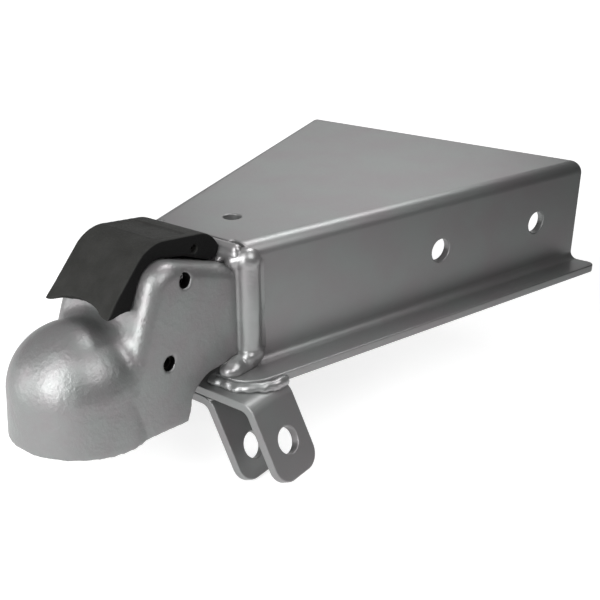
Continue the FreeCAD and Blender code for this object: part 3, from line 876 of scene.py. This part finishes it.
@dataclass
class PlateWork:
    """The folded channel and the two bent straps, with sheared edges slightly rounded.

    Attributes:
        channel_edge: Width of the channel's rounded edges.
        strap_edge: Width of the straps' rounded edges.
    """

    channel_edge: float = mm(0.9)
    strap_edge: float = mm(0.9)

    def build(self) -> list[Item]:
        """Build the channel and the straps.

        Returns:
            The finished pieces.
        """
        channel = Piece.of_node("channel_frame", "folded_channel").break_edges(self.channel_edge)
        pieces = [install(channel.item, Body.COUPLER, Slot.PLATE, "channel_frame")]
        for place in ("outer", "inner"):
            strap = Piece.of_node(f"chain_strap_{place}", f"chain_ears_{place}").break_edges(self.strap_edge)
            pieces.append(install(strap.item, Body.COUPLER, Slot.STRAP, f"chain_strap_{place}"))
        return pieces


@dataclass(frozen=True)
class Bead:
    """How one kind of weld looks.

    Attributes:
        node: CAD node, without its side where there is one on each side.
        skin: Skin of the bead.
        ripple: Height of its fine ripples.
        lumps: Weld metal beyond the CAD bead.
        pitch: Distance between ripples.
        wander: How far the ripples stray, in radians of their wave.
        wander_grain: Size of the straying.
    """

    node: str
    skin: Skin
    ripple: float
    lumps: tuple[Lump, ...] = ()
    pitch: float = mm(3.1)
    wander: float = 1.4
    wander_grain: float = mm(4.0)

    def wave(self, place: Vector, _normal: Vector) -> float:
        """Height of the ripples at a point, whatever its normal."""
        stray = self.wander * noise.noise(place / self.wander_grain)
        return self.ripple * math.sin(2.0 * math.pi * ((place.x + place.y + place.z) / self.pitch) + stray)


@dataclass
class WeldBeads:
    """The welds between the casting, the channel and the straps, with their ripples and lumps.

    Attributes:
        last_passes: Passes of smoothing over the ripples.
        seed: Step of the noise between the right bead and the left one.
        kinds: Every kind of weld.
    """

    last_passes: int = 2
    seed: float = 4.7
    kinds: tuple[Bead, ...] = (
        Bead("side_weld", Skin(BEAD_GRID, 10, swell=mm(0.35), grain=mm(9.0), lift=mm(0.35)), mm(0.05), (
            Lump(spot(107.0, 40.2, -12.0), spot(107.0, 40.2, 52.0), spot(6.6, 6.6, 6.6)),  # core
            Lump(spot(113.0, 42.3, -8.0), spot(113.0, 42.3, 50.0), spot(12.5, 3.6, 6.0)),  # skirt on the wall
            Lump(spot(102.6, 37.6, -6.0), spot(102.6, 37.6, 48.0), spot(4.4, 3.2, 6.0)),  # fillet to the neck
            Lump(spot(101.5, 34.5, 53.0), spot(104.5, 39.0, 54.5), spot(6.0, 6.0, 6.0)),  # cap
            Lump(spot(103.0, 42.5, -12.5), spot(108.5, 43.5, -11.0), spot(6.2, 6.2, 6.2)),  # foot
            Lump(spot(88.0, 39.5, -16.5), spot(101.0, 40.5, -15.5), spot(6.4, 6.4, 4.6)),  # toe on the flange
        )),
        Bead("flange_weld", Skin(BEAD_GRID, 4, swell=mm(1.3), grain=mm(6.0), lift=mm(0.55)), mm(0.1)),
        Bead("strap_weld", Skin(BEAD_GRID, 4, swell=mm(0.5), grain=mm(4.0), lift=mm(0.2)), mm(0.08)),
        Bead("roof_weld", Skin(BEAD_GRID, 12, swell=mm(0.25), grain=mm(9.0), lift=mm(0.3)), 0.0, (
            Lump(spot(101.5, 26.0, 56.5), spot(102.5, 36.0, 56.5), spot(5.4, 5.4, 5.4)),  # corner
            Lump(spot(101.5, 0.0, 60.2), spot(101.5, 36.0, 60.2), spot(3.6, 3.6, 3.6)),  # ridge
        )),
    )

    def build(self) -> list[Item]:
        """Build every bead.

        Returns:
            The finished pieces.
        """
        pieces = []
        for kind in self.kinds:
            if kind.node in NODES:
                pieces.append(self.bead(kind, kind.node, (1.0, -1.0), self.seed))
            else:
                pieces.append(self.bead(kind, f"{kind.node}_right", (1.0,), self.seed))
                pieces.append(self.bead(kind, f"{kind.node}_left", (-1.0,), 2.0 * self.seed))
        return pieces

    def bead(self, kind: Bead, node: str, sides: Sequence[float], seed: float) -> Item:
        """Build one bead from its CAD node.

        Args:
            kind: The bead's look.
            node: The CAD node.
            sides: Sides of the part that it lies on, 1 for +Y and -1 for -Y.
            seed: Shifts the noise.

        Returns:
            The finished piece.
        """
        piece = Piece.of_node(node, node.replace("weld", "bead"))
        for side in sides:
            for lump in kind.lumps:
                piece.add_lump(lump.on_side(side))
        piece.cast(kind.skin).roughen(kind.skin, seed)
        piece.press(kind.wave).smooth(self.last_passes)
        return install(piece.item, Body.COUPLER, Slot.WELD, node)


@dataclass
class LatchLever:
    """The black lever with its shallow pad, and the pin that it turns on.

    Attributes:
        skin: Skin of the lever.
        pad_front: Front end of the pad along X.
        pad_back: Rear end of the pad along X.
        pad_half: Half width of the pad.
        pad_depth: Depth of the CAD pad, which is filled at its front.
        pad_fade: Length over which the pad reaches its full depth.
        pad_blur: Width of the filling's soft border.
        pad_floor: Height above which the pad lies.
        pad_facing: Least upward part of the normal of a point on the pad.
        lip_corner: The lip's corner on the +Y side.
        lip_core: Distance from the corner within which the lip is drawn out in full.
        lip_reach: Further distance over which that fades out.
        lip_draw: How far the corner is drawn out.
        lip_passes: Further passes of smoothing at the corners.
    """

    skin: Skin = Skin(mm(0.75), 5, swell=mm(0.05), grain=mm(5.0), lift=mm(-0.35))
    pad_front: float = mm(50.0)
    pad_back: float = mm(74.0)
    pad_half: float = mm(21.0)
    pad_depth: float = mm(0.8)
    pad_fade: float = mm(20.0)
    pad_blur: float = mm(3.6)
    pad_floor: float = mm(60.0)
    pad_facing: float = 0.6
    lip_corner: Point = spot(6.0, 26.5, 44.0)
    lip_core: float = mm(4.0)
    lip_reach: float = mm(9.0)
    lip_draw: Point = spot(-2.2, 1.2, -2.2)
    lip_passes: int = 50

    def build(self) -> list[Item]:
        """Build the lever and dress its pin.

        Returns:
            The finished pieces.
        """
        piece = Piece.of_node("latch_lever", "lift_lever").cast(self.skin)
        piece.press(self.pad_filling).soften(self.at_lip, self.lip_passes)
        piece.move(self.draw_lip).roughen(self.skin)
        lever = install(piece.item, Body.LEVER, Slot.LEVER, "latch_lever")
        return [lever, keep_node("lever_pin", Slot.PIN)]

    def at_lip(self, place: Vector) -> float:
        """Share from 0 to 1 that a place belongs to one of the lip's two corners."""
        corner = Vector((self.lip_corner[0], math.copysign(self.lip_corner[1], place.y), self.lip_corner[2]))
        return ease(1.0 - ((place - corner).length - self.lip_core) / self.lip_reach)

    def draw_lip(self, place: Vector, _normal: Vector) -> Vector:
        """Way that a point moves as the lip's blunt corners are drawn out."""
        along, across, down = self.lip_draw
        return Vector((along, math.copysign(across, place.y), down)) * self.at_lip(place)

    def pad_filling(self, place: Vector, normal: Vector) -> float:
        """Height that fills the pad from its front end, so that only its rear edge stays sharp.

        Args:
            place: A point of the lever.
            normal: Its normal.

        Returns:
            The height.
        """
        if normal.z < self.pad_facing or place.z < self.pad_floor:
            return 0.0
        run = limit((place.x - self.pad_front) / self.pad_fade)
        edge = max(abs(place.y) - self.pad_half, place.x - self.pad_back, self.pad_front - place.x)
        return self.pad_depth * (1.0 - run * run) * ease(0.5 - edge / self.pad_blur)


@dataclass
class LockGroup:
    """The lock slide that the lever lifts, its washer and its spring.

    Attributes:
        wire: Wire of the spring.
        slide_edge: Width of the slide's rounded edges.
    """

    wire: SpringWire = SpringWire(mm(1.2), 14, turns=6.0, steps=40)
    slide_edge: float = mm(0.5)

    def build(self) -> list[Item]:
        """Build the slide, the washer and the spring.

        Returns:
            The finished pieces.
        """
        slide = Piece.of_node("lock_slide", "lift_slide").break_edges(self.slide_edge)
        install(slide.item, Body.LOCK, Slot.SLIDE, "lock_slide")
        return [slide.item, keep_node("spring_washer", Slot.INNER), self.build_spring()]

    def build_spring(self) -> Item:
        """Wind the compression spring.

        Returns:
            The finished spring.
        """
        low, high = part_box("lock_spring")
        centre = (low + high) / 2
        arm = Vector((high.x - centre.x - self.wire.radius, 0.0, 0.0))
        start = Vector((centre.x, centre.y, low.z + self.wire.radius))
        end = Vector((centre.x, centre.y, high.z - self.wire.radius))
        spring = self.wire.piece("stem_spring", self.wire.coil(start, end, arm, "Z"))
        install(spring, Body.COUPLER, Slot.SPRING, "lock_spring")
        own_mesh(spring)
        return spring


@dataclass
class ClampGroup:
    """The ball clamp, its rolled pin, spacers and torsion springs.

    Attributes:
        skin: Skin of the clamp.
        wire: Wire of the torsion springs.
        coil_radius: Radius of their coils at the wire's centre line.
        arm_reach: Length of the arm that lies under the clamp.
        arm_top: Height of the end of the arm that leans on the neck.
    """

    skin: Skin = Skin(mm(0.8), 4, swell=mm(0.12), grain=mm(5.0))
    wire: SpringWire = SpringWire(mm(0.9), 12, turns=2.25, steps=36)
    coil_radius: float = mm(7.6)
    arm_reach: float = mm(20.2)
    arm_top: float = mm(43.5)

    def build(self) -> list[Item]:
        """Build the clamp and what sits on its pin.

        Returns:
            The finished pieces.
        """
        clamp = Piece.of_node("ball_clamp", "jaw_clamp").cast(self.skin).roughen(self.skin)
        install(clamp.item, Body.CLAMP, Slot.CLAMP, "ball_clamp")
        pieces = [clamp.item, keep_node("clamp_pin", Slot.PIN)]
        for side, sign in (("left", -1.0), ("right", 1.0)):
            pieces += [keep_node(f"clamp_spacer_{side}", Slot.INNER), self.build_spring(side, sign)]
        return pieces

    def build_spring(self, side: str, sign: float) -> Item:
        """Wind one torsion spring, with one arm under the clamp and one that leans on the neck.

        Args:
            side: Side of the part.
            sign: Direction of that side along Y.

        Returns:
            The finished spring.
        """
        low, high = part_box(f"clamp_spring_{side}")
        ends = sorted((abs(low.y), abs(high.y)))
        inner = Vector((CLAMP_BORE.x, sign * (ends[0] + self.wire.radius), CLAMP_BORE.z))
        outer = Vector((CLAMP_BORE.x, sign * (ends[1] - self.wire.radius), CLAMP_BORE.z))
        under = Vector((0.0, 0.0, -self.coil_radius))
        path = [inner + under + Vector((self.arm_reach, 0.0, 0.0))]
        path += self.wire.coil(inner, outer, under, "Y")
        path.append(Vector((outer.x - self.coil_radius, outer.y, self.arm_top)))
        spring = self.wire.piece(f"jaw_spring_{side}", path)
        dress(spring, Slot.SPRING)
        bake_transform(spring)
        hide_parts(f"clamp_spring_{side}")
        return spring


@dataclass(frozen=True)
class Softbox:
    """Soft studio lamp that points at the object.

    Attributes:
        name: Name of the lamp.
        towards: Direction of the lamp from its target.
        distance: Distance from its target.
        size: Width and height.
        level: Radiance, where 1 is white.
        target: Point that the lamp faces.
        spread: Angle of the lamp's beam in degrees.
    """

    name: str
    towards: Point
    distance: float
    size: Span
    level: float
    target: Point = (0.0, 0.0, 0.02)
    spread: float = 80.0

    def build(self) -> None:
        """Hang the lamp, with the power that gives its level through its spread."""
        data = bpy.data.lights.new(self.name, "AREA")
        data.shape = "RECTANGLE"
        data.spread = math.radians(self.spread)
        data.size, data.size_y = self.size
        half = math.radians(self.spread) / 2
        gain = math.tan(half) / (math.tan(half) - half)
        data.energy = self.level * math.pi * self.size[0] * self.size[1] / gain
        lamp = bpy.data.objects.new(self.name, data)
        way = Vector(self.towards).normalized()
        lamp.location = Vector(self.target) + way * self.distance
        lamp.rotation_euler = way.to_track_quat("Z", "Y").to_euler()
        lamp.visible_camera = False
        bpy.context.scene.collection.objects.link(lamp)


@dataclass
class Studio:
    """Pale floor, soft lamps, world and the camera at the photograph's place.

    Attributes:
        camera_place: Place of the camera.
        camera_right: Direction of the picture's right.
        camera_back: Direction of the camera's back.
        lens: Focal length in millimetres.
        sensor: Width of the sensor in millimetres.
        nearest: Least distance that the camera sees.
        floor_radius: Radius of the round floor.
        floor_sides: Straight sides of the floor's edge.
        paper_shade: Linear grey of the paper.
        paper_change: How far the grey varies either way.
        paper_grain: Size of its clouds.
        glow_low: Share of the glow outside the photograph's view.
        glow_towards: Direction in which it grows to its full share.
        glow_span: Distances in that direction between which it grows.
        glow_near: Glow beside the tow ball, which leaves the shadow to be seen.
        glow_far: Glow far from it.
        glow_reach: Distances from the ball between which it changes.
        sky_low: Strength of the world away from its bright side.
        sky_high: Strength of the world at its bright side.
        sky_towards: Direction of its bright side.
        sky_span: Cosines of the angle to it between which the strength changes.
        lamps: The lamps.
    """

    camera_place: Point = (-0.2756, -0.3678, 0.2499)
    camera_right: Point = (0.5996, -0.8003, 0.0)
    camera_back: Point = (-0.7309, -0.5476, 0.4072)
    lens: float = 52.44
    sensor: float = 36.0
    nearest: float = 0.01
    floor_radius: float = 9.0
    floor_sides: int = 96
    paper_shade: float = 0.5
    paper_change: float = 0.01
    paper_grain: float = 0.4
    glow_low: float = 0.1
    glow_towards: Point = (-0.31, 0.95, 0.0)
    glow_span: Span = (-0.6, -0.27)
    glow_near: float = 0.75
    glow_far: float = 1.0
    glow_reach: Span = (0.15, 0.9)
    sky_low: float = 0.04
    sky_high: float = 0.35
    sky_towards: Point = (-0.48, 0.6, 0.64)
    sky_span: Span = (-0.4, 0.9)
    lamps: tuple[Softbox, ...] = (
        Softbox("key_softbox", (-0.91, -0.14, 0.36), 0.6, (0.40, 0.38), 9.6),
        Softbox("crown_softbox", (-0.60, -0.18, 0.77), 0.6, (0.42, 0.34), 4.5),
        Softbox("side_softbox", (0.10, -0.75, 0.65), 0.7, (0.5, 0.36), 6.5, spread=60.0),
        Softbox("top_softbox", (0.50, -0.05, 0.86), 0.7, (0.2, 0.4), 12.0, (0.10, 0.0, 0.0), 60.0),
        Softbox("rear_softbox", (0.80, 0.46, 0.36), 1.6, (1.0, 0.6), 1.35, (0.2, 0.0, 0.0), 100.0),
        Softbox("front_softbox", (-0.76, 0.62, 0.16), 0.8, (0.5, 0.4), 3.8),
    )

    def build(self) -> None:
        """Build the whole studio."""
        self.build_floor()
        self.build_world()
        self.build_camera()
        for lamp in self.lamps:
            lamp.build()

    def build_floor(self) -> None:
        """Lay the floor under the object's lowest point."""
        mesh = bpy.data.meshes.new("studio_floor")
        shape = bmesh.new()
        bmesh.ops.create_circle(shape, cap_ends=True, radius=self.floor_radius, segments=self.floor_sides)
        shape.to_mesh(mesh)
        shape.free()
        floor = bpy.data.objects.new("studio_floor", mesh)
        floor.location.z = CAD_BOX[0].z
        bpy.context.scene.collection.objects.link(floor)
        mesh.materials.append(self.floor_material())

    def floor_material(self) -> bpy.types.Material:
        """White paper: plain diffuse, with a glow that brings the background up to white.

        Returns:
            The material.
        """
        graph = ShaderGraph("studio_paper")
        low, high = self.paper_shade - self.paper_change, self.paper_shade + self.paper_change
        paper = graph.add("ShaderNodeBsdfDiffuse")
        graph.feed(paper, Color=graph.remap(graph.noise(self.paper_grain), low, high))
        glow = graph.add("ShaderNodeEmission")
        graph.feed(glow, Strength=self.glow_level(graph))
        both = graph.add("ShaderNodeAddShader")
        graph.join(paper.outputs["BSDF"], both.inputs[0])
        graph.join(glow.outputs["Emission"], both.inputs[1])
        choice = graph.add("ShaderNodeMixShader")
        graph.join(self.seen_rays(graph), choice.inputs[0])
        graph.join(paper.outputs["BSDF"], choice.inputs[1])
        graph.join(both.outputs[0], choice.inputs[2])
        graph.feed(graph.output, Surface=choice.outputs[0])
        return graph.material

    def glow_level(self, graph: ShaderGraph) -> Socket:
        """Strength of the floor's glow: full where the photograph shows the floor, less near the ball.

        Args:
            graph: The floor's material.

        Returns:
            The strength.
        """
        along = graph.add("ShaderNodeVectorMath", operation="DOT_PRODUCT")
        along.inputs[1].default_value = self.glow_towards
        away = graph.add("ShaderNodeVectorMath", operation="LENGTH")
        for measure in (along, away):
            graph.join(graph.place, measure.inputs[0])
        side = graph.remap(along.outputs["Value"], self.glow_low, 1.0, self.glow_span)
        ring = graph.remap(away.outputs["Value"], self.glow_near, self.glow_far, self.glow_reach)
        return graph.maths("MULTIPLY", side, ring)

    def seen_rays(self, graph: ShaderGraph) -> Socket:
        """Mask of the rays that show the floor, straight, in a reflection or through glass.

        Args:
            graph: The floor's material.

        Returns:
            1 for these rays and 0 for those that light the object.
        """
        rays = graph.add("ShaderNodeLightPath").outputs
        shown = graph.maths("ADD", rays["Is Camera Ray"], rays["Is Glossy Ray"])
        return graph.maths("ADD", shown, rays["Is Transmission Ray"], clamp=True)

    def build_world(self) -> None:
        """Soft light from all round, brightest from above, in front and on the +Y side."""
        world = bpy.data.worlds.new("studio_world")
        world.use_nodes = True
        nodes = world.node_tree.nodes
        links = world.node_tree.links
        facing = nodes.new("ShaderNodeVectorMath")
        facing.operation = "DOT_PRODUCT"
        facing.inputs[1].default_value = Vector(self.sky_towards).normalized()
        links.new(nodes.new("ShaderNodeTexCoord").outputs["Generated"], facing.inputs[0])
        level = nodes.new("ShaderNodeMapRange")
        level.interpolation_type = "SMOOTHSTEP"
        ends = {"From Min": self.sky_span[0], "From Max": self.sky_span[1], "To Min": self.sky_low,
                "To Max": self.sky_high}
        for name, value in ends.items():
            level.inputs[name].default_value = value
        links.new(facing.outputs["Value"], level.inputs["Value"])
        links.new(level.outputs["Result"], nodes["Background"].inputs["Strength"])
        nodes["Background"].inputs["Color"].default_value = (1.0, 1.0, 1.0, 1.0)
        bpy.context.scene.world = world

    def build_camera(self) -> None:
        """Put the camera where the photograph was taken from."""
        data = bpy.data.cameras.new("photo_camera")
        data.lens = self.lens
        data.sensor_width = self.sensor
        data.clip_start = self.nearest
        camera = bpy.data.objects.new("photo_camera", data)
        back = Vector(self.camera_back).normalized()
        right = Vector(self.camera_right).normalized()
        rise = back.cross(right)
        turn = Matrix((right, rise, back)).transposed().to_4x4()
        camera.matrix_world = Matrix.Translation(self.camera_place) @ turn
        bpy.context.scene.collection.objects.link(camera)
        bpy.context.scene.camera = camera
        bpy.context.scene.view_settings.view_transform = "Standard"


def main() -> None:
    """Build and dress every sub-assembly, report its pieces and set up the studio."""
    logging.basicConfig(level=logging.INFO, format="%(message)s")
    for assembly in (CastHead(), PlateWork(), WeldBeads(), LatchLever(), LockGroup(), ClampGroup()):
        for piece in assembly.build():
            LOG.info("%s: %s, %d faces", type(assembly).__name__, piece.name, len(piece.data.polygons))
    Studio().build()


if __name__ == "__main__":
    main()
